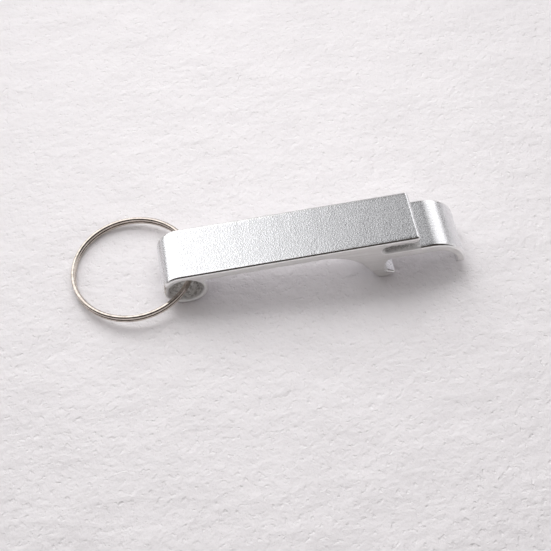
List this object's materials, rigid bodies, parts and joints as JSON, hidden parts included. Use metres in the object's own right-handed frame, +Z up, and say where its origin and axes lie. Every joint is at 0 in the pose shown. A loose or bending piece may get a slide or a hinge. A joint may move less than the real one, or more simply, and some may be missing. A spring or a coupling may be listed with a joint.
{
  "type": "keychain bottle opener",
  "caption": "Extruded aluminium bottle opener slice with a cap claw, a curled lip, a flat bar and a key loop that carries a swinging split ring.",
  "frame": {"origin": "on the table, under the middle of the whole object, key ring included", "axes": "+X along the bar from the key loop to the curled lip, +Y across the bar, +Z up from the table"},
  "size_m": [0.0762, 0.024, 0.0123],
  "materials": {
    "opener_body": "tumbled satin with fine sparkle, sawn side faces",
    "split_ring": "polished nickel plate"
  },
  "bodies": {
    "opener": {"opener_body": "opener_body"},
    "ring": {"split_ring": "split_ring"}
  },
  "joints": [
    {"name": "ring_swing", "type": "hinge", "parent": "opener", "child": "ring", "pos_m": [-0.01655, -0.0028, 0.0044], "axis": [0, 1, 0], "range_deg": [-175, 164]}
  ]
}
